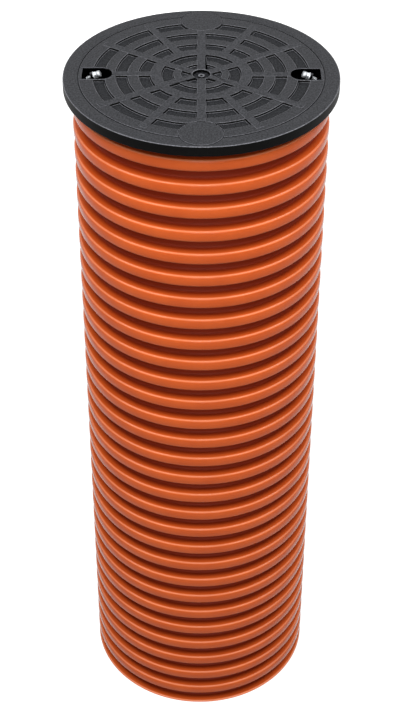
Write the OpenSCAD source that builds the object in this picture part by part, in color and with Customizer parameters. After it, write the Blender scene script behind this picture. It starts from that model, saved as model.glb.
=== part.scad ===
// Corrugated inspection chamber shaft with a moulded screw-down cover.
// Units are millimetres. The origin is the centre of the foot, and +Z is up.

/* [Shaft] */
// Outside diameter over the ribs
shaft_od = 324; // [270:1:420]
// Length of the cut shaft
shaft_length = 1000; // [300:10:3000]
// Thickness of the corrugated wall
shaft_wall = 3; // [2:0.5:5]
// Depth of the grooves between the ribs
groove_depth = 13; // [9:0.5:16]
// Distance from one rib to the next
rib_pitch = 33.65; // [28:0.05:44]
// Height of a groove, measured half way down its sides
groove_width = 16.3; // [15:0.1:23]
// How far the top end runs into the rib that it was cut through
top_stub = 5.1; // [2:0.1:6.5]
// How far the side of a rib leans over the depth of a groove
flank_run = 1.2; // [0:0.1:3]
// Radius of the outer rib edges
crown_radius = 3.4; // [2.5:0.1:5]
// Radius of the fillets at the groove floor
root_radius = 3.4; // [1:0.1:4]

/* [Cover] */
// Thickness of the cover where it rests on the shaft
margin_thickness = 3; // [2.5:0.1:6]
// How far the plate reaches down into the shaft inside the skirt
plate_sink = 2; // [1.5:0.1:6]
// Height of the rim that hangs over the end of the shaft
rim_height = 13.5; // [10:0.5:30]
// Thickness of that rim
rim_wall = 4; // [2.5:0.5:8]
// Play between that rim and the ribs, on the radius
rim_clearance = 6.4; // [2:0.1:12]
// Rounding of the rim's edges
rim_radius = 1; // [0.4:0.1:1.6]
// Width of the plain outer margin
margin_width = 18.5; // [12:0.5:24]
// How far the margin lies below the rest of the plate
margin_drop = 0.4; // [0.2:0.1:1]
// Width of the fine groove that sets the margin off
margin_groove = 1.4; // [0.8:0.1:2]
// How far the bars, lips and badges stand above the plate
bar_height = 0.3; // [0.2:0.1:1]
// Width of the radial bars
bar_width = 10.3; // [6:0.1:14]
// Angle of the first slanting bar above the line through the slots
bar_angle_low = 32.5; // [28:0.5:40]
// Angle of the second slanting bar
bar_angle_high = 61.5; // [54:0.5:68]
// Width of the plain border outside the pockets
pocket_border = 17; // [12:0.5:30]
// Width of a band of pockets
pocket_width = 15.4; // [10:0.1:20]
// Width of the ring between two bands of pockets
ring_width = 13.1; // [8:0.1:16]
// Depth of the pockets
pocket_depth = 2.4; // [1:0.1:3]
// Inside radius of the innermost full band of pockets
first_band_r = 34.6; // [33:0.1:44]
// Width of the narrow band of pockets round the hub
hub_band_width = 12.3; // [8:0.1:14]
// Diameter of the dished hub
hub_d = 26.4; // [20:0.2:28]
// Thickness of the raised ring round the dish
hub_rim = 2.2; // [1.5:0.1:4]
// Depth of the dish
hub_dish = 4.2; // [1:0.1:4.4]
// Diameter of the boss in the middle of the dish
hub_boss_d = 8.4; // [6:0.2:12]
// Diameter of the two round badges
badge_d = 53.4; // [40:0.2:60]
// Width of the fine groove round a badge
badge_groove = 0.9; // [0.5:0.1:1.5]
// Play between the skirt and the bore of the shaft, on the radius
skirt_clearance = 1.5; // [0.5:0.1:3]
// Thickness of the skirt
skirt_wall = 3.5; // [2.5:0.5:5]
// Depth of the skirt below the plate
skirt_depth = 40; // [30:1:80]
// Depth of the stiffening webs below the plate
web_depth = 18; // [8:1:28]
// Thickness of the stiffening webs
web_wall = 3; // [2:0.5:5]

/* [Lock screws] */
// Width of the screw slots
slot_width = 28; // [25:0.5:34]
// Length of the screw slots
slot_length = 38; // [34:0.5:46]
// How far the slots reach out past the bore of the shaft
slot_reach = 2.5; // [0:0.5:5]
// Depth of the ledge at the outer end of a slot
slot_ledge = 2.2; // [1:0.1:2.6]
// Thickness of the skirt behind a slot
slot_wall = 1.5; // [1:0.1:2.5]
// Width of the lip round a slot
slot_lip = 2; // [1.5:0.5:5]
// Wall thickness of the wells below the slots
well_wall = 3; // [2:0.5:5]
// Depth of the wells below the end of the shaft
well_depth = 24; // [20:1:32]
// Angle of the screws below the horizontal
screw_angle = 24; // [16:1:26]
// Diameter of the screw thread
screw_d = 5; // [4:0.5:6]
// Length of the screw below its head
screw_length = 18; // [16:1:24]
// Diameter of the screw head
head_d = 8.5; // [7:0.1:10.5]
// Length of the screw head
head_length = 4.5; // [3:0.5:6]
// Width of the driver slot in the head
driver_width = 1.3; // [0.8:0.1:2]
// Depth of the driver slot in the head
driver_depth = 2; // [1:0.1:2.5]
// Gap round the thread in the nut and in the lug, on the radius
thread_gap = 0.1; // [0.05:0.05:0.3]
// Gap between the head, the nut and the lug, along the screw
seat_gap = 0.2; // [0.05:0.05:0.5]
// Width across the flats of the nut
nut_flats = 8; // [7:0.1:10]
// Height of the nut with its flange
nut_height = 4.2; // [3.5:0.1:6]
// Diameter of the flange of the nut
flange_d = 11; // [10.5:0.1:14]
// Thickness of the flange of the nut
flange_height = 1.4; // [1:0.1:2]
// Thickness of the lug that holds the screw
lug_wall = 3; // [2:0.5:4]

/* [Hidden] */

// Facets of a full turn on the large rounds and on the small ones
large_fn = 180;
small_fn = 40;
// Steps in a rounded corner of the shaft wall
round_steps = 4;
// Length by which one solid runs into another that it is fused with
bite = 1;

// Shaft: the outer face of the wall, its inner face and the ribs that fall on it
shaft_r = shaft_od / 2;
valley_r = shaft_r - groove_depth;
bore_r = valley_r - shaft_wall;
flank_angle = atan2(flank_run, groove_depth);
rib_half = (rib_pitch - groove_width) / 2 + flank_run / 2;
hollow_half = rib_half - shaft_wall * (1 / cos(flank_angle) - tan(flank_angle));
hollow_tip_radius = max(crown_radius - shaft_wall, 0.5);
cut_rib_z = shaft_length - top_stub + (rib_pitch - groove_width) / 2;
last_rib = ceil((cut_rib_z + rib_pitch / 2) / rib_pitch) - 1;

// Cover: heights of its faces and radii of its parts
lid_r = shaft_r + rim_clearance + rim_wall;
margin_top = shaft_length + margin_thickness;
plate_top = margin_top + margin_drop;
lid_top = plate_top + bar_height;
plate_bottom = shaft_length - plate_sink;
margin_r = lid_r - margin_width;
skirt_r = bore_r - skirt_clearance;
band_pitch = pocket_width + ring_width;
pocket_limit_r = margin_r - pocket_border;
last_band = floor((pocket_limit_r - pocket_width - first_band_r) / band_pitch);
outer_band_r = first_band_r + last_band * band_pitch + pocket_width;
bar_end_r = (outer_band_r + margin_r) / 2 + 2;
inner_ring_r = first_band_r + pocket_width + ring_width / 2;
badge_x = margin_r - 12;
groove_sink = 1;
hub_band_r = hub_d / 2 + hub_band_width;
hub_boss_drop = 2.2;
hub_dimple_d = 3.6;
hub_tube_r = 16;
mouth_z = shaft_length - well_depth;

// Slots: the outer end is square and the inner end round
slot_end = bore_r + slot_reach;
slot_round = slot_width / 2;
slot_centre = slot_end - slot_length + slot_round;

// Screws: the tip's centre lies at the radius of the bore, below the cut rib
tip_drop = 0.3;
screw_total = head_length + screw_length;
tip_z = shaft_length - top_stub - tip_drop;
head_x = bore_r - screw_total * cos(screw_angle);
head_z = tip_z + screw_total * sin(screw_angle);
nut_start = head_length + seat_gap;
lug_start = nut_start + nut_height + seat_gap;
lug_r = flange_d / 2;
lug_foot = 9;
notch_width = screw_d + 2;

// Points of a round of the given radius from angle a0 to angle a1 about a centre.
function round_points(centre, radius, a0, a1) = [
    for (i = [0 : round_steps])
        let (a = a0 + (a1 - a0) * i / round_steps)
            centre + radius * [cos(a), sin(a)]
];

// One wave of a face of the wall, from the bottom up: a ridge on the radius base_r, centred
// on mid_z, with leaning sides, round tips and filleted roots.
function wave(mid_z, base_r, half, tip_radius, fillet) =
    let (
        run = tan(flank_angle),
        turn = 90 - flank_angle,
        tip_in = groove_depth - tip_radius,
        tip_side = half - tip_in * run - tip_radius / cos(flank_angle),
        root_side = half - fillet * run + fillet / cos(flank_angle)
    )
    concat(
        round_points([base_r + fillet, mid_z - root_side], fillet, 180, 180 - turn),
        round_points([base_r + tip_in, mid_z - tip_side], tip_radius, -turn, 0),
        round_points([base_r + tip_in, mid_z + tip_side], tip_radius, 0, turn),
        round_points([base_r + fillet, mid_z + root_side], fillet, 180 + turn, 180)
    );

// A face of the wall, as the waves of all ribs from the foot to the top.
function waves(base_r, half, tip_radius, fillet) = [
    for (i = [last_rib : -1 : 0])
        each wave(cut_rib_z - i * rib_pitch, base_r, half, tip_radius, fillet)
];

function reversed(list) = [for (i = [len(list) - 1 : -1 : 0]) list[i]];

// The corrugated pipe: one wall that waves in and out, sawn off square at both ends.
module shaft() {
    outer_face = waves(valley_r, rib_half, crown_radius, root_radius);
    inner_face = waves(bore_r, hollow_half, hollow_tip_radius, root_radius + shaft_wall);
    color("#cf5a2b")
        rotate_extrude($fn = large_fn)
            intersection() {
                square([shaft_od, shaft_length]);
                polygon(concat(outer_face, reversed(inner_face)));
            }
}

// Outline of a slot, square at its outer end, grown by a margin on every side.
module slot_outline(grow) {
    translate([slot_centre, 0])
        circle(slot_round + grow, $fn = 2 * small_fn);
    translate([slot_centre, -slot_round - grow])
        square([slot_end - slot_centre + grow, slot_width + 2 * grow]);
}

// Puts its children at both ends of the line through the slots.
module both_sides() {
    for (s = [0, 1])
        mirror([s, 0, 0])
            children();
}

// Bars of the lattice between two radii, at the angles of all four quarters.
module outer_bars(from_r, to_r) {
    for (a = [0, bar_angle_low, bar_angle_high, 90])
        for (flip_x = [0, 1], flip_y = [0, 1])
            mirror([flip_x, 0])
                mirror([0, flip_y])
                    rotate(a)
                        translate([from_r, -bar_width / 2])
                            square([to_r - from_r, bar_width]);
}

// The six bars of the two inner bands.
module inner_bars(from_r, to_r) {
    for (a = [30 : 60 : 330])
        rotate(a)
            translate([from_r, -bar_width / 2])
                square([to_r - from_r, bar_width]);
}

module ring(from_r, to_r) {
    difference() {
        circle(to_r, $fn = large_fn);
        circle(from_r, $fn = large_fn);
    }
}

module badges(grow) {
    for (s = [-1, 1])
        translate([0, s * badge_x])
            circle(badge_d / 2 + grow, $fn = 2 * small_fn);
}

// Plan of every pocket in the top of the cover.
module pocket_plan() {
    difference() {
        for (k = [1 : last_band])
            ring(first_band_r + k * band_pitch, first_band_r + k * band_pitch + pocket_width);
        outer_bars(inner_ring_r, lid_r);
        badges(badge_groove);
        both_sides()
            slot_outline(slot_lip);
    }
    difference() {
        union() {
            ring(first_band_r, first_band_r + pocket_width);
            ring(hub_d / 2, hub_band_r);
        }
        inner_bars(0, inner_ring_r);
    }
}

// Plan of what stands above the plate: the bars, the lips of the slots and the hub's ring.
module raised_plan() {
    difference() {
        union() {
            outer_bars(inner_ring_r, bar_end_r);
            ring(inner_ring_r - ring_width / 2, inner_ring_r + ring_width / 2);
            inner_bars(hub_d / 2 - hub_rim, inner_ring_r);
            both_sides()
                slot_outline(slot_lip);
        }
        badges(badge_groove);
    }
    ring(hub_d / 2 - hub_rim, hub_d / 2);
}

// Half section of the cover without its relief: plate, margin, rim and skirt.
module lid_section() {
    difference() {
        union() {
            translate([0, plate_bottom])
                square([skirt_r, plate_top - plate_bottom]);
            translate([0, shaft_length])
                square([margin_r, plate_top - shaft_length]);
            translate([0, shaft_length])
                square([lid_r - rim_wall + bite, margin_thickness]);
        }
        translate([margin_r - margin_groove, margin_top - groove_sink])
            square([margin_groove, groove_sink + bite]);
    }
    translate([lid_r - rim_wall, margin_top - rim_height + rim_radius])
        square([rim_wall, rim_height - 2 * rim_radius]);
    translate([lid_r - rim_wall, margin_top - rim_height])
        square([rim_wall - rim_radius, rim_height]);
    for (z = [margin_top - rim_radius, margin_top - rim_height + rim_radius])
        translate([lid_r - rim_radius, z])
            circle(rim_radius, $fn = small_fn);
    translate([skirt_r - skirt_wall, shaft_length - skirt_depth])
        square([skirt_wall, skirt_depth]);
    for (r = [inner_ring_r - web_wall / 2, hub_tube_r - web_wall])
        translate([r, shaft_length - web_depth])
            square([web_wall, web_depth]);
}

// Radial webs below the plate, one under each bar, from the hub to the skirt.
module webs() {
    for (a = [bar_angle_low, bar_angle_high, 90])
        for (flip_x = [0, 1], flip_y = [0, 1])
            mirror([flip_x, 0, 0])
                mirror([0, flip_y, 0])
                    rotate(a)
                        translate([hub_tube_r - bite, -web_wall / 2, shaft_length - web_depth])
                            cube([skirt_r - skirt_wall - hub_tube_r + 2 * bite, web_wall,
                                  web_depth]);
    both_sides()
        translate([hub_tube_r - bite, -web_wall / 2, shaft_length - web_depth])
            cube([slot_centre - slot_round - well_wall - hub_tube_r + 2 * bite, web_wall,
                  web_depth]);
}

// The walled well below a slot, from its round end to the skirt.
module well() {
    translate([0, 0, mouth_z])
        linear_extrude(well_depth)
            intersection() {
                difference() {
                    slot_outline(well_wall);
                    slot_outline(0);
                }
                circle(skirt_r - skirt_wall / 2, $fn = large_fn);
            }
}

// Puts its children on the axis of the right-hand screw: their +Z runs out and down
// from the face of the head, and their +X points down across the screw.
module on_screw_axis() {
    translate([head_x, 0, head_z])
        rotate([0, 90 + screw_angle, 0])
            children();
}

// The lug that holds a screw, and the cross bar of the well that it stands on.
module lug() {
    foot_length = well_depth - 2;
    on_screw_axis()
        translate([0, 0, lug_start])
            linear_extrude(lug_wall) {
                circle(lug_r, $fn = small_fn);
                translate([0, -lug_r])
                    square([lug_foot + bite, 2 * lug_r]);
                translate([lug_foot, -slot_round - bite])
                    square([foot_length - lug_foot, slot_width + 2 * bite]);
            }
}

// The slot itself: open down the well, shallow where it reaches out over the end of the
// shaft, and notched there for the tip of the screw.
module slot_cut() {
    notch_z = tip_z - notch_width / 2;
    translate([0, 0, mouth_z])
        linear_extrude(lid_top - mouth_z + bite)
            intersection() {
                slot_outline(0);
                circle(skirt_r - slot_wall, $fn = large_fn);
            }
    translate([0, 0, plate_top - slot_ledge])
        linear_extrude(slot_ledge + bar_height + bite)
            slot_outline(0);
    translate([skirt_r - skirt_wall - bite, -notch_width / 2, notch_z])
        cube([slot_end - skirt_r + skirt_wall + bite, notch_width, lid_top - notch_z + bite]);
}

// The hole for one screw in its lug.
module screw_cut() {
    on_screw_axis()
        translate([0, 0, lug_start - bite])
            cylinder(h = lug_wall + 2 * bite, d = screw_d + 2 * thread_gap, $fn = small_fn);
}

// The cover's plate with its rim and skirt, its relief and the cuts of the slots.
module plate() {
    difference() {
        union() {
            rotate_extrude($fn = large_fn)
                lid_section();
            translate([0, 0, plate_top - bite])
                linear_extrude(bar_height + bite)
                    raised_plan();
            translate([0, 0, shaft_length])
                linear_extrude(plate_top - shaft_length)
                    badges(0);
        }
        translate([0, 0, plate_top - pocket_depth])
            linear_extrude(pocket_depth + bar_height + bite)
                pocket_plan();
        translate([0, 0, lid_top - hub_dish])
            linear_extrude(hub_dish + bite)
                difference() {
                    circle(d = hub_d - 2 * hub_rim, $fn = 2 * small_fn);
                    circle(d = hub_boss_d, $fn = small_fn);
                }
        translate([0, 0, lid_top - hub_boss_drop])
            cylinder(h = hub_dish, d = hub_boss_d + bite, $fn = small_fn);
        translate([0, 0, lid_top - hub_dish])
            cylinder(h = hub_dish, d = hub_dimple_d, $fn = small_fn);
        translate([0, 0, plate_top - groove_sink])
            linear_extrude(groove_sink + bar_height + bite)
                difference() {
                    badges(badge_groove);
                    badges(0);
                }
        both_sides()
            slot_cut();
    }
}

// The moulded cover: the plate, and what holds the screws and stiffens it below.
module lid() {
    color("#3c3d40")
        difference() {
            union() {
                plate();
                webs();
                both_sides() {
                    well();
                    lug();
                }
            }
            both_sides()
                screw_cut();
        }
}

// A machine screw with a tall round head and a driver slot.
module lock_screw() {
    tip_chamfer = 0.7;
    head_edge = 0.5;
    difference() {
        union() {
            translate([0, 0, head_edge])
                cylinder(h = head_length - head_edge, d = head_d, $fn = small_fn);
            cylinder(h = head_edge, d1 = head_d - 2 * head_edge, d2 = head_d, $fn = small_fn);
            cylinder(h = screw_total - tip_chamfer, d = screw_d, $fn = small_fn);
            translate([0, 0, screw_total - tip_chamfer])
                cylinder(h = tip_chamfer, d1 = screw_d, d2 = screw_d - 2 * tip_chamfer,
                         $fn = small_fn);
        }
        translate([-head_d, -driver_width / 2, -bite])
            cube([2 * head_d, driver_width, driver_depth + bite]);
    }
}

// A hexagon nut with a flange, seated against the lug.
module lock_nut() {
    difference() {
        union() {
            cylinder(h = nut_height - flange_height / 2, d = nut_flats / cos(30), $fn = 6);
            translate([0, 0, nut_height - flange_height])
                cylinder(h = flange_height, d = flange_d, $fn = small_fn);
        }
        translate([0, 0, -bite])
            cylinder(h = nut_height + 2 * bite, d = screw_d + 2 * thread_gap, $fn = small_fn);
    }
}

module lock_screw_right() {
    color("#c9ccd0")
        on_screw_axis()
            lock_screw();
}

module lock_screw_left() {
    mirror([1, 0, 0])
        lock_screw_right();
}

module lock_nut_right() {
    color("#b9bcc0")
        on_screw_axis()
            translate([0, 0, nut_start])
                lock_nut();
}

module lock_nut_left() {
    mirror([1, 0, 0])
        lock_nut_right();
}

shaft();
lid();
lock_screw_left();
lock_screw_right();
lock_nut_left();
lock_nut_right();
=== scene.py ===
import math

import bmesh
import bpy
from mathutils import Euler, Matrix, Vector


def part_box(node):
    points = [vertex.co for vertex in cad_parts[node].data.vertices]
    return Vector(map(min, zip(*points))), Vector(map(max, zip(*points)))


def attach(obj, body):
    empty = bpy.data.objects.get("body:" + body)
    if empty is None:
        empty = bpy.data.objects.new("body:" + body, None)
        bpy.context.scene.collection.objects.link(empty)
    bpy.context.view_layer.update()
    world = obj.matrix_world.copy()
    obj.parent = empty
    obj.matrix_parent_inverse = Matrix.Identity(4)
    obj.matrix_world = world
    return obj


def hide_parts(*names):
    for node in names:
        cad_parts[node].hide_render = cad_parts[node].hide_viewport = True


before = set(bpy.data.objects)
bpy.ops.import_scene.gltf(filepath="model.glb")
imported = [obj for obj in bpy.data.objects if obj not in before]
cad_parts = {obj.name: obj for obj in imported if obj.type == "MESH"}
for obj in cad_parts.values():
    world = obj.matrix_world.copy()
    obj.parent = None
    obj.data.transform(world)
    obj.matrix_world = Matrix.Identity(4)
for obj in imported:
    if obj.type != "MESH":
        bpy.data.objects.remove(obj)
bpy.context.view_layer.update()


# ---------------------------------------------------------------------------------------
# Shaft: a single-walled corrugated pipe of orange-brown polypropylene. It is extruded and
# blown into running mould blocks, then sawn square through a rib at both ends.
# ---------------------------------------------------------------------------------------

MM = 0.001
PIPE_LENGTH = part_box("shaft")[1].z
PIPE_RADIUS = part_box("shaft")[1].x
WALL = 3 * MM
GROOVE_DEPTH = 13 * MM
RIB_PITCH = 33.65 * MM
GROOVE_COUNT = 30
GROOVE_WIDTH = 16.3 * MM
END_STUB = 5.1 * MM
FLANK_RUN = 1.2 * MM
CROWN_ROUND = 3.4 * MM
ROOT_ROUND = 3.4 * MM
PIPE_SIDES = 112


def add(tree, kind, inputs=None, **settings):
    """Adds one node to a tree, with its settings and with values or links on its inputs."""
    made = tree.nodes.new(kind)
    for name, value in settings.items():
        setattr(made, name, value)
    for key, value in (inputs or {}).items():
        if isinstance(value, bpy.types.Node):
            value = value.outputs[0]
        if isinstance(value, bpy.types.NodeSocket):
            tree.links.new(value, made.inputs[key])
        else:
            made.inputs[key].default_value = value
    return made


def linear(hex_colour):
    """Turns an sRGB hex colour into the linear colour that the shaders take."""
    parts = [int(hex_colour[i:i + 2], 16) / 255 for i in (1, 3, 5)]
    return [c / 12.92 if c <= 0.04045 else ((c + 0.055) / 1.055) ** 2.4 for c in parts] + [1.0]


def pipe_wall_tree(finish):
    """The rule of the pipe: a closed wall profile, drawn corner by corner and turned round Z."""
    tree = bpy.data.node_groups.new("corrugated_pipe", "GeometryNodeTree")
    tree.interface.new_socket("Pipe", in_out="OUTPUT", socket_type="NodeSocketGeometry")
    sizes = {
        "Length": PIPE_LENGTH, "Outside radius": PIPE_RADIUS, "Wall": WALL,
        "Groove depth": GROOVE_DEPTH, "Rib pitch": RIB_PITCH, "Groove width": GROOVE_WIDTH,
        "End stub": END_STUB, "Flank run": FLANK_RUN, "Crown round": CROWN_ROUND,
        "Root round": ROOT_ROUND,
    }
    for name, value in sizes.items():
        socket = tree.interface.new_socket(name, in_out="INPUT", socket_type="NodeSocketFloat")
        socket.default_value = value
    for name, value in {"Grooves": GROOVE_COUNT, "Sides": PIPE_SIDES}.items():
        socket = tree.interface.new_socket(name, in_out="INPUT", socket_type="NodeSocketInt")
        socket.default_value = value
    given = add(tree, "NodeGroupInput").outputs

    def calc(operation, a, b=0.0, c=0.0):
        return add(tree, "ShaderNodeMath", {0: a, 1: b, 2: c}, operation=operation).outputs[0]

    def choose(test, when_false, when_true, kind="FLOAT"):
        return add(tree, "GeometryNodeSwitch",
                   {"Switch": test, "False": when_false, "True": when_true},
                   input_type=kind).outputs[0]

    def same(a, b):
        return add(tree, "FunctionNodeCompare", {2: a, 3: b}, data_type="INT",
                   operation="EQUAL").outputs[0]

    def less(a, b):
        return add(tree, "FunctionNodeCompare", {2: a, 3: b}, data_type="INT",
                   operation="LESS_THAN").outputs[0]

    # The outer face has two end corners and four corners for each groove, from the foot up.
    # The inner face has the same for each full rib, from the top down.
    index = add(tree, "GeometryNodeInputIndex").outputs[0]
    outer_count = calc("MULTIPLY_ADD", given["Grooves"], 4.0, 2.0)
    rib_count = calc("SUBTRACT", given["Grooves"], 1.0)
    inner_count = calc("MULTIPLY_ADD", rib_count, 4.0, 2.0)
    count = calc("ADD", outer_count, inner_count)
    is_outer = less(index, outer_count)
    down = calc("SUBTRACT", calc("SUBTRACT", count, 1.0), index)
    along = choose(is_outer, down, index)
    step = calc("SUBTRACT", along, 1.0)
    bay = calc("FLOOR", calc("DIVIDE", step, 4.0))
    corner = calc("FLOORED_MODULO", step, 4.0)

    # Heights of the corners in a groove, measured from the middle of the groove.
    half = calc("MULTIPLY", given["Groove width"], 0.5)
    lean = calc("MULTIPLY", given["Flank run"], 0.5)
    wide = calc("ADD", half, lean)
    narrow = calc("SUBTRACT", half, lean)
    lower = less(corner, 2)
    is_mouth = add(tree, "FunctionNodeBooleanMath",
                   {0: same(corner, 0), 1: same(corner, 3)}, operation="OR").outputs[0]
    outer_height = choose(is_mouth, narrow, wide)
    outer_height = choose(lower, outer_height, calc("MULTIPLY", outer_height, -1.0))
    top_groove = calc("SUBTRACT", calc("SUBTRACT", given["Length"], given["End stub"]), half)
    from_top = calc("SUBTRACT", calc("SUBTRACT", given["Grooves"], 1.0), bay)
    groove_z = calc("SUBTRACT", top_groove, calc("MULTIPLY", from_top, given["Rib pitch"]))
    outer_z = calc("ADD", groove_z, outer_height)
    floor_radius = calc("SUBTRACT", given["Outside radius"], given["Groove depth"])
    outer_radius = choose(is_mouth, floor_radius, given["Outside radius"])

    # Heights of the corners of a rib's hollow, measured from the middle of the rib.
    bore = calc("SUBTRACT", floor_radius, given["Wall"])
    rib_half = calc("SUBTRACT", calc("MULTIPLY", given["Rib pitch"], 0.5), half)
    slope = calc("DIVIDE", given["Flank run"], given["Groove depth"])
    slant = calc("SQRT", calc("MULTIPLY_ADD", slope, slope, 1.0))
    wall_side = calc("MULTIPLY", given["Wall"], calc("SUBTRACT", slant, slope))
    hollow_wide = calc("SUBTRACT", calc("ADD", rib_half, lean), wall_side)
    hollow_narrow = calc("SUBTRACT", calc("SUBTRACT", rib_half, lean), wall_side)
    inner_height = choose(is_mouth, hollow_narrow, hollow_wide)
    inner_height = choose(lower, inner_height, calc("MULTIPLY", inner_height, -1.0))
    rib_z = calc("ADD", groove_z, calc("MULTIPLY", given["Rib pitch"], 0.5))
    inner_z = calc("ADD", rib_z, inner_height)
    hollow_radius = calc("SUBTRACT", given["Outside radius"], given["Wall"])
    inner_radius = choose(is_mouth, hollow_radius, bore)

    # The four end corners, where the saw went through.
    at_foot = same(along, 0)
    last = calc("SUBTRACT", choose(is_outer, inner_count, outer_count), 1.0)
    at_top = same(along, last)
    radius = choose(is_outer, inner_radius, outer_radius)
    height = choose(is_outer, inner_z, outer_z)
    end = add(tree, "FunctionNodeBooleanMath", {0: at_foot, 1: at_top}, operation="OR").outputs[0]
    radius = choose(end, radius, choose(is_outer, bore, given["Outside radius"]))
    height = choose(at_foot, choose(at_top, height, given["Length"]), 0.0)

    # The profile as a closed line, with its corners rounded.
    line = add(tree, "GeometryNodeCurvePrimitiveLine")
    line = add(tree, "GeometryNodeResampleCurve", {"Curve": line, "Count": count})
    turn = calc("SUBTRACT", radius, given["Outside radius"])
    place = add(tree, "ShaderNodeCombineXYZ", {"X": turn, "Y": calc("MULTIPLY", height, -1.0)})
    line = add(tree, "GeometryNodeSetPosition", {"Geometry": line, "Position": place})
    line = add(tree, "GeometryNodeSetSplineCyclic", {"Geometry": line, "Cyclic": True})
    outer_round = choose(is_mouth, given["Root round"], given["Crown round"])
    inner_round = choose(is_mouth, MM, calc("ADD", given["Root round"], given["Wall"]))
    rounding = choose(end, choose(is_outer, inner_round, outer_round), 0.0)
    line = add(tree, "GeometryNodeFilletCurve",
               {"Curve": line, "Count": choose(is_outer, 2, 3, "INT"), "Radius": rounding,
                "Limit Radius": True}, mode="POLY")
    circle = add(tree, "GeometryNodeCurvePrimitiveCircle",
                 {"Resolution": given["Sides"], "Radius": given["Outside radius"]})
    pipe = add(tree, "GeometryNodeCurveToMesh", {"Curve": circle, "Profile Curve": line})
    pipe = add(tree, "GeometryNodeFlipFaces", {"Mesh": pipe})
    pipe = add(tree, "GeometryNodeSetShadeSmooth", {"Geometry": pipe})
    pipe = add(tree, "GeometryNodeRealizeInstances", {"Geometry": pipe})
    pipe = add(tree, "GeometryNodeSetMaterial", {"Geometry": pipe, "Material": finish})
    add(tree, "NodeGroupOutput", {"Pipe": pipe})
    return tree


def start_material(name, colour, roughness, **constants):
    """A material with its shader's plain values set; returns it with its tree and shader."""
    made = bpy.data.materials.new(name)
    made.use_nodes = True
    shader = made.node_tree.nodes["Principled BSDF"]
    shader.inputs["Base Color"].default_value = linear(colour)
    shader.inputs["Roughness"].default_value = roughness
    for key, value in constants.items():
        shader.inputs[key.replace("_", " ")].default_value = value
    return made, made.node_tree, shader


# Extruded polypropylene: a satin skin, whose fine lines run round the pipe where the mould
# blocks and the calibrating sleeve have rubbed it. It is never quite flat, so the highlights
# swell and thin a little along each rib. A painted highlight lightens the colour along the
# edges of the crowns, and painted shade darkens it in the grooves. Real lines are a few
# tenths of a millimetre apart, and these are drawn coarser so that they show.
pipe_plastic, tree, shader = start_material("extruded_polypropylene", "#cf5618", 0.2, IOR=1.49,
                                            Specular_IOR_Level=0.15)
place = add(tree, "ShaderNodeTexCoord").outputs["Object"]
rubbed = add(tree, "ShaderNodeMapping", {"Vector": place, "Scale": (14.0, 14.0, 420.0)})
rubbed = add(tree, "ShaderNodeTexNoise", {"Vector": rubbed, "Scale": 1.0, "Detail": 3.0})
cloudy = add(tree, "ShaderNodeTexNoise", {"Vector": place, "Scale": 26.0, "Detail": 4.0})
tint = add(tree, "ShaderNodeMapRange", {"Value": cloudy.outputs[0], "From Min": 0.3,
                                        "From Max": 0.7})
crown = add(tree, "ShaderNodeMix", {0: tint, 6: linear("#cd561f"), 7: linear("#d65e24")},
            data_type="RGBA")

# The wave is 1 at the middle of each crown and -1 at the middle of each groove.
first_crown = PIPE_LENGTH - END_STUB - GROOVE_WIDTH / 2 - RIB_PITCH / 2
high = add(tree, "ShaderNodeSeparateXYZ", {0: place}).outputs[2]
turns = 2 * math.pi / RIB_PITCH
phase = add(tree, "ShaderNodeMath", {0: high, 1: turns, 2: -turns * first_crown},
            operation="MULTIPLY_ADD")
wave = add(tree, "ShaderNodeMath", {0: phase}, operation="COSINE")
flat = add(tree, "ShaderNodeVectorMath", {0: place, 1: (1.0, 1.0, 0.0)}, operation="MULTIPLY")
spoke = add(tree, "ShaderNodeVectorMath", {0: flat}, operation="LENGTH").outputs["Value"]
# Painted highlight: a pale peach is mixed into the colour along both rounded edges of each crown,
# on the outermost few millimetres of the wall only.
crown_highlight_mask = add(tree, "ShaderNodeMapRange", {"Value": wave, "From Min": 0.45, "From Max": 0.15,
                                        "To Min": 0.0, "To Max": 0.75})
outer = add(tree, "ShaderNodeMapRange", {"Value": spoke, "From Min": PIPE_RADIUS - 2.6 * MM,
                                         "From Max": PIPE_RADIUS - 0.8 * MM})
crown_highlight_mask = add(tree, "ShaderNodeMath", {0: crown_highlight_mask, 1: outer}, operation="MULTIPLY")
with_crown_highlight = add(tree, "ShaderNodeMix", {0: crown_highlight_mask, 6: crown.outputs[2], 7: linear("#f09a70")},
            data_type="RGBA")
# Painted shade: the colour deepens to a dark brown towards the floors of the grooves, where the
# ribs above shade them. The same mask makes the grooves rougher.
depth = add(tree, "ShaderNodeMapRange", {
    "Value": spoke, "From Min": PIPE_RADIUS - 11 * MM, "From Max": PIPE_RADIUS - 0.5 * MM,
    "To Min": 1.0, "To Max": 0.0})
colour = add(tree, "ShaderNodeMix", {0: depth, 6: with_crown_highlight.outputs[2], 7: linear("#802405")},
             data_type="RGBA")
tree.links.new(colour.outputs[2], shader.inputs["Base Color"])

gloss = add(tree, "ShaderNodeMapRange", {"Value": rubbed.outputs[0], "From Min": 0.3,
                                         "From Max": 0.7, "To Min": 0.16, "To Max": 0.23})
gloss = add(tree, "ShaderNodeMath", {0: depth, 1: 0.35, 2: gloss}, operation="MULTIPLY_ADD")
tree.links.new(gloss.outputs[0], shader.inputs["Roughness"])
swell = add(tree, "ShaderNodeTexNoise", {"Vector": place, "Scale": 16.0, "Detail": 1.0})
dents = add(tree, "ShaderNodeBump", {"Height": swell.outputs[0], "Strength": 1.0,
                                     "Distance": 0.8 * MM})
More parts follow.
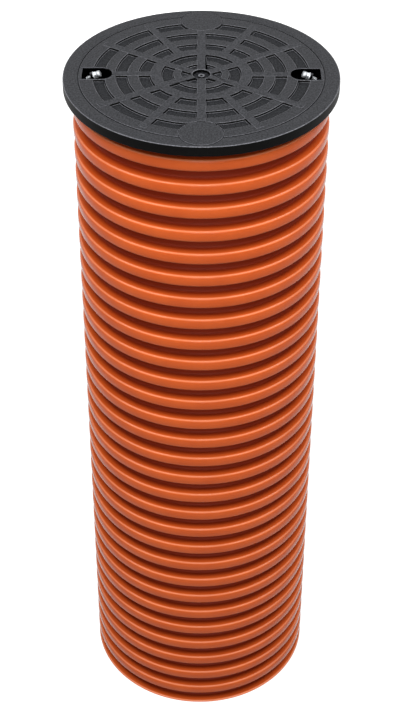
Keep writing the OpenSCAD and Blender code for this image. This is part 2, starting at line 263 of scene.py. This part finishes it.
# The crowns are slightly barrelled, because the soft wall draws back from the mould's edges.
barrel = add(tree, "ShaderNodeBump", {"Height": wave, "Strength": 1.0,
                                      "Distance": 0.8 * MM, "Normal": dents.outputs[0]})
lines = add(tree, "ShaderNodeBump", {"Height": rubbed.outputs[0], "Strength": 1.0,
                                     "Distance": 0.03 * MM, "Normal": barrel.outputs[0]})
tree.links.new(lines.outputs[0], shader.inputs["Normal"])

pipe_base = bpy.data.objects.new("pipe_base", bpy.data.meshes.new("pipe_base"))
bpy.context.scene.collection.objects.link(pipe_base)
pipe_base.modifiers.new("pipe", "NODES").node_group = pipe_wall_tree(pipe_plastic)


def keep_result(base, name, body="root"):
    """Turns what an object's modifiers make into a plain piece that rides on a body."""
    graph = bpy.context.evaluated_depsgraph_get()
    mesh = bpy.data.meshes.new_from_object(base.evaluated_get(graph), depsgraph=graph)
    bpy.data.objects.remove(base)
    mesh.name = name
    piece = bpy.data.objects.new(name, mesh)
    bpy.context.scene.collection.objects.link(piece)
    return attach(piece, body)


shaft = keep_result(pipe_base, "shaft_pipe")
even = shaft.modifiers.new("even_faces", "WEIGHTED_NORMAL")
even.weight = 100
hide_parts("shaft")


# ---------------------------------------------------------------------------------------
# Cover: a round cap injection moulded in black polypropylene. Its plate rests on the sawn
# end of the shaft, and its lattice of bars and pockets is moulded with it.
# ---------------------------------------------------------------------------------------

# Heights above the foot, radii from the middle, and how exactly a height is met.
LID_TOP = 1003.7 * MM
PLATE_TOP = 1003.4 * MM
POCKET_FLOOR = 1001 * MM
UNDERSIDE = 985 * MM
HUB_BOSS = 4.6 * MM
HUB_LIP = 11.2 * MM
RIM_START = 171.2 * MM
SLOT_START, SLOT_END = 112 * MM, 149.5 * MM
SLOT_HALF = 14.1 * MM
WALL_LEAN = 1.1 * MM
EDGE_ROUND = 1.2 * MM
SHADED_CORNER = 3.2 * MM
NEAR = 0.05 * MM
# The four thin walls that close the notch for each screw's tip, as corners in millimetres.
# They are dark sheets put in as shade, so that the orange bore does not show through the slot.
NOTCH_SHADE_WALLS = (
    (Vector((144.4, 3.5, 995.5)), Vector((147.0, 4.5, 1000.1))),
    (Vector((144.4, -4.5, 995.5)), Vector((147.0, -3.5, 1000.1))),
    (Vector((147.2, -4.5, 996.6)), Vector((148.4, 4.5, 1001.1))),
    (Vector((145.6, -4.5, 1000.1)), Vector((147.2, 4.5, 1001.1))))


def grain(tree, place, size, depth):
    """A fine moulded grain: a bump of noise whose grains are `size` metres apart."""
    noise = add(tree, "ShaderNodeTexNoise", {"Vector": place, "Scale": 1 / size, "Detail": 2.0})
    return add(tree, "ShaderNodeBump", {
        "Height": noise.outputs[0], "Strength": 1.0, "Distance": depth}).outputs[0]


def shade_between_bars(tree, place):
    """Full tone on the bars that stand proud of the plate, and painted shade a little darker
    between them.
    """
    high = add(tree, "ShaderNodeSeparateXYZ", {0: place}).outputs[2]
    return add(tree, "ShaderNodeMapRange", {
        "Value": high, "From Min": PLATE_TOP + 1.6 * NEAR, "From Max": LID_TOP - 1.6 * NEAR,
        "To Min": 0.84, "To Max": 1.0})


def painted_corner_shade(tree, place):
    """Painted shade: full tone in the middle of a pocket's floor, darker into the corners at its
    walls.
    """
    shade = add(tree, "ShaderNodeAttribute", attribute_name="corner").outputs["Fac"]
    return add(tree, "ShaderNodeMapRange", {"Value": shade, "To Min": 1.12, "To Max": 0.3})


def cover_plastic(name, dark, light, roughness, size, depth, level=None, **constants):
    """Black polypropylene whose skin changes a little in tone, with a grain of a given size."""
    made, tree, shader = start_material(name, light, roughness, IOR=1.49, **constants)
    place = add(tree, "ShaderNodeTexCoord").outputs["Object"]
    speckle = add(tree, "ShaderNodeTexNoise", {"Vector": place, "Scale": 1 / size, "Detail": 2.0})
    tone = add(tree, "ShaderNodeMapRange", {"Value": speckle.outputs[0], "From Min": 0.36,
                                            "From Max": 0.64})
    colour = add(tree, "ShaderNodeMix", {0: tone, 6: linear(dark), 7: linear(light)},
                 data_type="RGBA").outputs[2]
    # A given level scales the colour down in places, as painted shade.
    if level:
        colour = add(tree, "ShaderNodeVectorMath", {0: colour, "Scale": level(tree, place)},
                     operation="SCALE").outputs[0]
    tree.links.new(colour, shader.inputs["Base Color"])
    tree.links.new(grain(tree, place, size, depth), shader.inputs["Normal"])
    return made


# Injection-moulded polypropylene from a spark-eroded mould face: a dull grain that scatters
# the light of the room, so that the black plastic looks charcoal grey from above. A real grain
# is a few tenths of a millimetre wide, and this one is drawn coarser so that it shows.
cover_top = cover_plastic("moulded_polypropylene_grained", "#121317", "#38393d", 0.5,
                          2.2 * MM, 0.2 * MM, shade_between_bars, Specular_IOR_Level=0.2)

# The floors of the pockets and of the hub's dish: the same plastic with a shallower grain and
# less gloss, in a darker colour that paints shade onto the floors sunk between the bars.
shaded_floor_plastic = cover_plastic("moulded_polypropylene_pocket_shaded", "#0c0d0f", "#28292c", 0.6,
                            2.2 * MM, 0.15 * MM, painted_corner_shade, Specular_IOR_Level=0.1)

# The same plastic on the rim, the walls of the pockets and everything below, a little smoother:
# a near-black copy with almost no gloss, painted shade for faces turned from the lamps above.
shaded_side_plastic = cover_plastic("moulded_polypropylene_smooth_shaded", "#040404", "#070707", 0.45,
                           4 * MM, 0.05 * MM, Specular_IOR_Level=0.05)

# The slots and their ledges: the same plastic in a black copy without gloss, as painted shade.
shaded_well_plastic = cover_plastic("moulded_polypropylene_well_shaded", "#010101", "#020202", 0.9,
                           4 * MM, 0.05 * MM, Specular_IOR_Level=0.0)

# The rounded edges of rings, bars and rim, the rim's top and the hub's boss: the same plastic in a
# lighter, glossier copy, a painted highlight that draws the lattice with fine light lines.
highlight_edge_plastic = cover_plastic("moulded_polypropylene_edge_highlight", "#3c3d42", "#63646a", 0.34,
                           2.2 * MM, 0.05 * MM)


def edge_bevels(work, layer):
    """Weights of the rounded edges: full on the hub's lip, small on the rings, bars and rest."""
    for edge in work.edges:
        if len(edge.link_faces) != 2 or edge.calc_face_angle(0) < math.radians(30):
            continue
        low, high = sorted(v.co.z for v in edge.verts)
        if high - low > NEAR:
            continue
        if low > LID_TOP - NEAR:
            edge[layer] = 1.0 if edge.verts[0].co.xy.length < HUB_LIP else 0.2
        elif abs(low - PLATE_TOP) < NEAR and edge.is_convex:
            edge[layer] = 0.3
        elif abs(low - POCKET_FLOOR) < NEAR:
            edge[layer] = 0.25
        elif high < POCKET_FLOOR + 1 * MM and edge.is_convex:
            edge[layer] = 0.25


def pocket_floors(work):
    """The flat faces at the bottom of the pockets."""
    return [f for f in work.faces if f.normal.z > 0.99
            and abs(f.calc_center_median().z - POCKET_FLOOR) < 0.4 * NEAR]


def lean_walls(work, lean):
    """Draws the floor of each pocket in, so that its walls lean as the mould's draft does."""
    moves = {}
    for face in pocket_floors(work):
        for loop in face.loops:
            here = loop.vert.co
            back = (here - loop.link_loop_prev.vert.co).normalized()
            ahead = (loop.link_loop_next.vert.co - here).normalized()
            inward = Vector((-back.y, back.x, 0))
            middle = (inward + Vector((-ahead.y, ahead.x, 0))).normalized()
            moves[loop.vert] = middle * lean / max(middle.dot(inward), 0.4)
    for vert, move in moves.items():
        vert.co += move


def mark_shaded_corners(work, layer):
    """Insets the floor of each pocket, and marks its outer edge as a corner for painted shade."""
    for face in pocket_floors(work):
        outer = list(face.verts)
        width = min(SHADED_CORNER, 0.12 * math.sqrt(face.calc_area()))
        bmesh.ops.inset_individual(work, faces=[face], thickness=width, use_even_offset=True)
        for vert in outer:
            vert[layer] = 1.0


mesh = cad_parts["lid"].data.copy()
work = bmesh.new()
work.from_mesh(mesh)
bmesh.ops.remove_doubles(work, verts=work.verts, dist=NEAR)
bmesh.ops.dissolve_limit(work, angle_limit=math.radians(0.8),
                         verts=[v for v in work.verts if v.co.z > UNDERSIDE],
                         edges=[e for e in work.edges if min(v.co.z for v in e.verts) > UNDERSIDE])
work.normal_update()
lean_walls(work, WALL_LEAN)
mark_shaded_corners(work, work.verts.layers.float.new("corner"))
edge_bevels(work, work.edges.layers.float.new("bevel_weight_edge"))
bmesh.ops.triangulate(work, faces=[f for f in work.faces if len(f.verts) > 4],
                      ngon_method="EAR_CLIP")
for side in (-1, 1):
    for low, high in NOTCH_SHADE_WALLS:
        size, middle = (high - low) * MM, (high + low) / 2 * MM
        middle.x *= side
        bmesh.ops.create_cube(work, size=1.0, matrix=Matrix.Translation(middle) @ Matrix.Diagonal(
            size.to_4d()))
for face in work.faces:
    face.smooth = True
work.to_mesh(mesh)
work.free()
mesh.materials.clear()
skins = (cover_top, shaded_floor_plastic, shaded_side_plastic, highlight_edge_plastic, shaded_well_plastic)
for skin in skins:
    mesh.materials.append(skin)
cover = bpy.data.objects.new("cover", mesh)
bpy.context.scene.collection.objects.link(cover)
edge = cover.modifiers.new("edge_round", "BEVEL")
edge.width = EDGE_ROUND
edge.segments = 2
# The rounds take the lighter copy, as a painted highlight on the edges.
edge.material = skins.index(highlight_edge_plastic)
edge.limit_method = "WEIGHT"
edge.use_clamp_overlap = False
even = cover.modifiers.new("even_faces", "WEIGHTED_NORMAL")
even.weight = 100
cover = keep_result(cover, "cover")
# Each face takes its skin: the slots the black of painted shade, the rounds, rim top and hub boss
# the painted highlight, steep and low faces the shaded copy, and the pocket floors the darker copy
# with painted shade.
for face in cover.data.polygons:
    middle, out = face.center, face.center.xy.length
    in_slot = SLOT_START < abs(middle.x) < SLOT_END and abs(middle.y) < SLOT_HALF
    is_round = skins[face.material_index] == highlight_edge_plastic
    if in_slot and UNDERSIDE < middle.z < PLATE_TOP - 0.5 * MM:
        skin = shaded_well_plastic
    elif is_round and middle.z > POCKET_FLOOR - 0.1 * MM:
        skin = highlight_edge_plastic
    elif out > RIM_START and face.normal.z > 0.3 or out < HUB_BOSS and middle.z > POCKET_FLOOR:
        skin = highlight_edge_plastic
    elif face.normal.z < 0.8 or middle.z < PLATE_TOP - 5 * MM:
        skin = shaded_side_plastic
    elif middle.z > PLATE_TOP - 0.6 * MM:
        skin = cover_top
    else:
        skin = shaded_floor_plastic
    face.material_index = skins.index(skin)
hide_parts("lid")


# ---------------------------------------------------------------------------------------
# Lock screws: two M5 steel machine screws with slotted heads, turned and rolled, then
# barrel-plated with zinc. Each stands in a lug below a slot and points at the shaft's bore.
# ---------------------------------------------------------------------------------------

# Each screw starts at the middle of its head's face and slants down by the angle.
SCREW_ANGLE = math.radians(24)
SCREW_START = Vector((125.445 * MM, 0, 1003.752 * MM))
HEAD_DIAMETER = 8.5 * MM
HEAD_LENGTH = 4.5 * MM
SCREW_LENGTH = 22.5 * MM
THREAD_DIAMETER = 5 * MM
THREAD_PITCH = 0.8 * MM
CORE_RADIUS = 2 * MM
DRIVER_WIDTH = 1.3 * MM
DRIVER_DEPTH = 2 * MM
ROUND_SIDES = 40
# The circle that an outline is carried round. Its radius is taken off again, so any will do.
PIVOT = 10 * MM

# Zinc plated on steel in a tumbling barrel: a hazy mirror, slightly uneven all over.
zinc, tree, shader = start_material("zinc_plated_steel", "#b4b7ba", 0.52, Metallic=1.0)
place = add(tree, "ShaderNodeTexCoord").outputs["Object"]
tree.links.new(grain(tree, place, 1.2 * MM, 0.02 * MM), shader.inputs["Normal"])


def new_tree(name, sizes):
    """A node tree that takes a mesh and named sizes, and gives a mesh."""
    tree = bpy.data.node_groups.new(name, "GeometryNodeTree")
    tree.interface.new_socket("Mesh", in_out="OUTPUT", socket_type="NodeSocketGeometry")
    tree.interface.new_socket("Profile", in_out="INPUT", socket_type="NodeSocketGeometry")
    for key, value in sizes.items():
        kind = "NodeSocketVector" if isinstance(value, tuple) else "NodeSocketFloat"
        socket = tree.interface.new_socket(key, in_out="INPUT", socket_type=kind)
        socket.default_value = value
    return tree, add(tree, "NodeGroupInput").outputs


def turned(tree, profile):
    """Turns a flat line of radii and heights round Z, and closes it at the axis."""
    line = add(tree, "GeometryNodeMeshToCurve", {"Mesh": profile})
    at = add(tree, "ShaderNodeSeparateXYZ", {0: add(tree, "GeometryNodeInputPosition")})
    shifted = add(tree, "ShaderNodeMath", {0: at.outputs[0], 1: PIVOT}, operation="SUBTRACT")
    down = add(tree, "ShaderNodeMath", {0: at.outputs[2], 1: -1.0}, operation="MULTIPLY")
    spot = add(tree, "ShaderNodeCombineXYZ", {0: shifted, 1: down})
    line = add(tree, "GeometryNodeSetPosition", {"Geometry": line, "Position": spot})
    circle = add(tree, "GeometryNodeCurvePrimitiveCircle",
                 {"Resolution": ROUND_SIDES, "Radius": PIVOT})
    body = add(tree, "GeometryNodeCurveToMesh", {"Curve": circle, "Profile Curve": line})
    body = add(tree, "GeometryNodeFlipFaces", {"Mesh": body})
    return add(tree, "GeometryNodeMergeByDistance", {"Geometry": body, "Distance": 0.01 * MM})


def set_in_place(tree, given, body, finish):
    """Sets a piece on its axis, realizes it and gives it its finish."""
    body = add(tree, "GeometryNodeTransform", {"Geometry": body, "Translation": given["Start"],
                                               "Rotation": given["Direction"]})
    body = add(tree, "GeometryNodeTransform", {"Geometry": body, "Rotation": given["Side"]})
    body = add(tree, "GeometryNodeRealizeInstances", {"Geometry": body})
    body = add(tree, "GeometryNodeSetMaterial", {"Geometry": body, "Material": finish})
    add(tree, "NodeGroupOutput", {0: body})


def profile_object(points):
    """An object that holds the half outline of a turned piece, as radii and heights."""
    mesh = bpy.data.meshes.new("profile")
    mesh.from_pydata([(r, 0, z) for r, z in points],
                     [(i, i + 1) for i in range(len(points) - 1)], [])
    made = bpy.data.objects.new("profile", mesh)
    bpy.context.scene.collection.objects.link(made)
    return made


def give(piece, tree, values):
    """Puts a tree on a piece and sets its inputs by their identifiers."""
    modifier = piece.modifiers.new("maker", "NODES")
    modifier.node_group = tree
    for socket in tree.interface.items_tree:
        if socket.in_out == "INPUT" and socket.name in values:
            modifier[socket.identifier] = values[socket.name]


screw_tree, given = new_tree("machine_screw", {
    "Thread diameter": THREAD_DIAMETER, "Thread pitch": THREAD_PITCH, "Thread start": HEAD_LENGTH,
    "Thread length": SCREW_LENGTH - HEAD_LENGTH - 0.9 * MM, "Driver width": DRIVER_WIDTH,
    "Driver depth": DRIVER_DEPTH, "Head diameter": HEAD_DIAMETER,
    "Start": (0.0, 0.0, 0.0), "Direction": (0.0, 0.0, 0.0), "Side": (0.0, 0.0, 0.0)})
body = turned(screw_tree, given["Profile"])
across = add(screw_tree, "ShaderNodeMath", {0: given["Head diameter"], 1: 2.0},
             operation="MULTIPLY")
deep = add(screw_tree, "ShaderNodeMath", {0: given["Driver depth"], 1: 2.0},
           operation="MULTIPLY")
size = add(screw_tree, "ShaderNodeCombineXYZ", {0: across, 1: given["Driver width"], 2: deep})
cutter = add(screw_tree, "GeometryNodeMeshCube", {"Size": size})
body = add(screw_tree, "GeometryNodeMeshBoolean", {"Mesh 1": body, "Mesh 2": cutter},
           operation="DIFFERENCE", solver="EXACT")
turns = add(screw_tree, "ShaderNodeMath", {0: given["Thread length"], 1: given["Thread pitch"]},
            operation="DIVIDE")
ridge = add(screw_tree, "ShaderNodeMath", {0: given["Thread pitch"], 1: 0.5}, operation="MULTIPLY")
reach = add(screw_tree, "ShaderNodeMath", {0: given["Thread diameter"], 1: 0.5},
            operation="MULTIPLY")
reach = add(screw_tree, "ShaderNodeMath", {0: reach, 1: ridge}, operation="SUBTRACT")
helix = add(screw_tree, "GeometryNodeCurveSpiral", {
    "Resolution": 20, "Rotations": turns, "Start Radius": reach, "End Radius": reach,
    "Height": given["Thread length"]})
tooth = add(screw_tree, "GeometryNodeCurvePrimitiveCircle", {"Resolution": 4, "Radius": ridge})
thread = add(screw_tree, "GeometryNodeCurveToMesh", {
    "Curve": helix, "Profile Curve": tooth, "Fill Caps": True})
lift = add(screw_tree, "ShaderNodeCombineXYZ", {2: given["Thread start"]})
thread = add(screw_tree, "GeometryNodeTransform", {"Geometry": thread, "Translation": lift})
whole = add(screw_tree, "GeometryNodeJoinGeometry", {0: thread})
screw_tree.links.new(body.outputs[0], whole.inputs[0])
set_in_place(screw_tree, given, whole, zinc)

# The half outline of the screw, from the face of its head to its tip.
head_radius = HEAD_DIAMETER / 2
screw_outline = [
    (0, 0), (head_radius - 1.1 * MM, 0), (head_radius - 0.4 * MM, 0.25 * MM),
    (head_radius, 0.9 * MM), (head_radius, HEAD_LENGTH - 0.2 * MM),
    (head_radius - 0.2 * MM, HEAD_LENGTH), (CORE_RADIUS, HEAD_LENGTH),
    (CORE_RADIUS, SCREW_LENGTH - 0.7 * MM), (CORE_RADIUS - 0.5 * MM, SCREW_LENGTH),
    (0, SCREW_LENGTH)]
for name, side in (("screw_right", 0.0), ("screw_left", math.pi)):
    screw = profile_object(screw_outline)
    give(screw, screw_tree, {"Start": SCREW_START,
                             "Direction": (0, math.pi / 2 + SCREW_ANGLE, 0),
                             "Side": (0, 0, side)})
    screw = keep_result(screw, name)
    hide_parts("lock_" + name)


# ---------------------------------------------------------------------------------------
# Lock nuts: two M5 hexagon nuts with a flange, cold formed from steel, tapped and plated with
# the screws. Each is run up its screw and bears with its flange on the lug.
# ---------------------------------------------------------------------------------------

NUT_START = 4.7 * MM
NUT_HEIGHT = 4.2 * MM
NUT_FLATS = 8 * MM
FLANGE_RADIUS = 5.5 * MM
FLANGE_HEIGHT = 1.4 * MM
BORE_RADIUS = 2.6 * MM


def fuse(tree, operation, solids):
    """Unites or intersects closed solids."""
    made = add(tree, "GeometryNodeMeshBoolean", operation=operation, solver="EXACT")
    for solid in solids:
        tree.links.new(solid.outputs[0], made.inputs["Mesh 2"])
    return made


def lifted(tree, body, height):
    """Moves a body that is centred on the origin up, so that it stands on it."""
    half = add(tree, "ShaderNodeMath", {0: height, 1: 0.5}, operation="MULTIPLY")
    up = add(tree, "ShaderNodeCombineXYZ", {2: half})
    return add(tree, "GeometryNodeTransform", {"Geometry": body, "Translation": up})


nut_tree, given = new_tree("flange_nut", {
    "Across flats": NUT_FLATS, "Height": NUT_HEIGHT, "Bore radius": BORE_RADIUS,
    "Start": (0.0, 0.0, 0.0), "Direction": (0.0, 0.0, 0.0), "Side": (0.0, 0.0, 0.0)})
corner = add(nut_tree, "ShaderNodeMath",
             {0: given["Across flats"], 1: 0.5 / math.cos(math.pi / 6)}, operation="MULTIPLY")
hexagon = add(nut_tree, "GeometryNodeMeshCylinder", {
    "Vertices": 6, "Radius": corner, "Depth": given["Height"]})

# A wide cone takes the corners off the hexagon's free end, at 30 degrees to its face.
flat = add(nut_tree, "ShaderNodeMath", {0: given["Across flats"], 1: 0.49}, operation="MULTIPLY")
wide = add(nut_tree, "ShaderNodeMath", {0: given["Height"], 1: 1.73, 2: flat},
           operation="MULTIPLY_ADD")
cone = add(nut_tree, "GeometryNodeMeshCone", {
    "Vertices": ROUND_SIDES, "Radius Bottom": flat, "Radius Top": wide,
    "Depth": given["Height"]})
sunk = add(nut_tree, "ShaderNodeMath", {0: given["Height"], 1: -0.5}, operation="MULTIPLY")
sunk = add(nut_tree, "ShaderNodeCombineXYZ", {2: sunk})
cone = add(nut_tree, "GeometryNodeTransform", {"Geometry": cone, "Translation": sunk})
body = lifted(nut_tree, fuse(nut_tree, "INTERSECT", [hexagon, cone]), given["Height"])
body = fuse(nut_tree, "UNION", [body, turned(nut_tree, given["Profile"])])
drill = add(nut_tree, "GeometryNodeMeshCylinder", {
    "Vertices": ROUND_SIDES, "Radius": given["Bore radius"], "Depth": 4 * NUT_HEIGHT})
body = add(nut_tree, "GeometryNodeMeshBoolean", {"Mesh 1": body, "Mesh 2": drill},
           operation="DIFFERENCE", solver="EXACT")
set_in_place(nut_tree, given, body, zinc)

# The half outline of the flange, from the side of the flats to the face on the lug.
nut_outline = [
    (0, NUT_HEIGHT - FLANGE_HEIGHT), (NUT_FLATS / 2 + 0.3 * MM, NUT_HEIGHT - FLANGE_HEIGHT),
    (FLANGE_RADIUS - 0.2 * MM, NUT_HEIGHT - 0.8 * MM), (FLANGE_RADIUS, NUT_HEIGHT - 0.6 * MM),
    (FLANGE_RADIUS, NUT_HEIGHT - 0.15 * MM), (FLANGE_RADIUS - 0.15 * MM, NUT_HEIGHT),
    (0, NUT_HEIGHT)]
along = Vector((math.cos(SCREW_ANGLE), 0, -math.sin(SCREW_ANGLE)))
for name, side in (("nut_right", 0.0), ("nut_left", math.pi)):
    nut = profile_object(nut_outline)
    give(nut, nut_tree, {"Start": SCREW_START + along * NUT_START,
                         "Direction": (0, math.pi / 2 + SCREW_ANGLE, 0), "Side": (0, 0, side)})
    nut = keep_result(nut, name)
    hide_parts("lock_" + name)


# ---------------------------------------------------------------------------------------
# Studio: a white floor without walls, soft lamps above and beside the shaft, and a camera at
# the height of someone who looks down at the cover. A low lamp behind lights the back.
# ---------------------------------------------------------------------------------------

LENS = 82.1
EYE = (0.0027, -1.812, 2.0023)
LOOK_DOWN = math.radians(38.75)
LEAN = math.radians(0.22)
ROOM_LIGHT = 0.25
LAMP_AIM = Vector((0, 0, 0.6))

camera_data = bpy.data.cameras.new("camera")
camera_data.sensor_width = 36
camera_data.lens = LENS
camera = bpy.data.objects.new("camera", camera_data)
bpy.context.scene.collection.objects.link(camera)
camera.location = EYE
tilt = Euler((math.pi / 2 - LOOK_DOWN, 0, 0)).to_matrix()
roll = Matrix.Rotation(LEAN, 3, "Z")
camera.rotation_euler = (tilt @ roll).to_euler()
bpy.context.scene.camera = camera


def shown_white(tree):
    """1 for the rays of the camera, of mirrors and of glass, and 0 for the light itself."""
    ray = add(tree, "ShaderNodeLightPath").outputs
    seen = add(tree, "ShaderNodeMath", {0: ray["Is Camera Ray"], 1: ray["Is Glossy Ray"]},
               operation="MAXIMUM")
    return add(tree, "ShaderNodeMath", {0: seen, 1: ray["Is Transmission Ray"]},
               operation="MAXIMUM")


world = bpy.data.worlds.new("white_room")
bpy.context.scene.world = world
world.use_nodes = True
tree = world.node_tree
room = tree.nodes["Background"]
room.inputs["Color"].default_value = (1, 1, 1, 1)
level = add(tree, "ShaderNodeMapRange", {"Value": shown_white(tree), "To Min": ROOM_LIGHT})
tree.links.new(level.outputs[0], room.inputs["Strength"])

# Matt white paint: it shows white, darker only where the shaft takes its light, and throws
# little light back up at the shaft.
floor_paint = bpy.data.materials.new("white_floor")
floor_paint.use_nodes = True
tree = floor_paint.node_tree
shader = tree.nodes["Principled BSDF"]
shader.inputs["Base Color"].default_value = linear("#8c8c8c")
shader.inputs["Roughness"].default_value = 0.9
glow = add(tree, "ShaderNodeEmission", {"Color": linear("#ffffff"), "Strength": 0.87})
both = add(tree, "ShaderNodeAddShader", {0: shader, 1: glow})
dull = add(tree, "ShaderNodeBsdfDiffuse", {"Color": linear("#484848")})
mixed = add(tree, "ShaderNodeMixShader", {0: shown_white(tree), 1: dull, 2: both})
tree.links.new(mixed.outputs[0], tree.nodes["Material Output"].inputs["Surface"])
floor_mesh = bpy.data.meshes.new("floor")
work = bmesh.new()
bmesh.ops.create_circle(work, cap_ends=True, segments=96, radius=12.0)
work.to_mesh(floor_mesh)
work.free()
floor_mesh.materials.append(floor_paint)
floor = bpy.data.objects.new("floor", floor_mesh)
bpy.context.scene.collection.objects.link(floor)

for name, place, size, watts in (
        ("front_lamp", (0.0, -1.55, 2.8), 0.8, 19), ("fill", (0.2, -3.2, 1.3), 2.0, 34),
        ("right_front_lamp", (1.1, -1.1, 2.8), 0.8, 19),
        ("left_front_lamp", (-1.1, -1.1, 2.8), 0.8, 19),
        ("right_lamp", (1.55, 0.1, 2.8), 0.8, 19), ("left_lamp", (-1.55, -0.1, 2.8), 0.8, 19),
        ("back_fill", (-0.2, 2.6, 0.45), 1.0, 30)):
    lamp = bpy.data.lights.new(name, "AREA")
    lamp.shape = "DISK"
    lamp.size = size
    lamp.energy = watts
    stand = bpy.data.objects.new(name, lamp)
    bpy.context.scene.collection.objects.link(stand)
    stand.location = place
    stand.rotation_euler = (LAMP_AIM - stand.location).to_track_quat("-Z", "Y").to_euler()

bpy.context.scene.view_settings.view_transform = "Standard"
